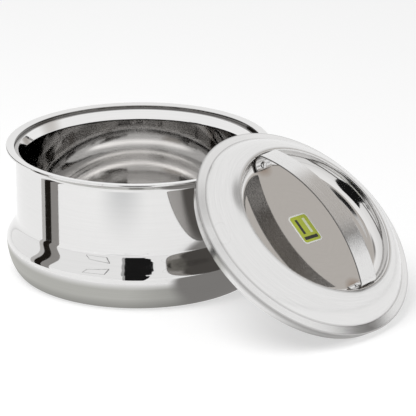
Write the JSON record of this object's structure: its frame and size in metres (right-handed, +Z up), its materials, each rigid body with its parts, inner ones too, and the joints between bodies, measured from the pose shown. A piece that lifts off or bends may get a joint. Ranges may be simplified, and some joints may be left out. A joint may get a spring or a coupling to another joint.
{
  "type": "insulated casserole",
  "caption": "Double-walled insulated steel serving pot for flat breads, with a loose insulated lid that has a dished top and a strap handle.",
  "frame": {"origin": "centre of the pot's flat base, on the surface it stands on", "axes": "+Z up along the pot's axis; +X to the right and -Y towards the viewer; the loose lid leans on the lip towards +X and -Y"},
  "size_m": [0.354, 0.3315, 0.1421],
  "materials": {
    "mirror_steel": "mirror-polished stainless steel",
    "bowl_steel": "polished stainless steel with faint spun lines",
    "satin_steel": "satin stainless steel with a bright dish",
    "strap_steel": "satin stainless steel, lightly scratched",
    "foam": "rigid closed-cell foam",
    "plug_plastic": "moulded, matte",
    "label_film": "printed film with a white border"
  },
  "bodies": {
    "pot": {"outer_shell": "mirror_steel", "inner_bowl": "bowl_steel", "body_insulation": "foam", "base_plate": "bowl_steel", "base_fill_plug": "plug_plastic"},
    "lid": {"lid_cover": "satin_steel", "lid_liner": "bowl_steel", "lid_insulation": "foam", "handle_strap": "strap_steel", "handle_rivets": "strap_steel", "label_sticker": "label_film"}
  },
  "joints": [
    {"name": "lid_lift", "type": "slide", "parent": "pot", "child": "lid", "axis": [0, 0, 1], "range_m": [0, 0.2]}
  ]
}
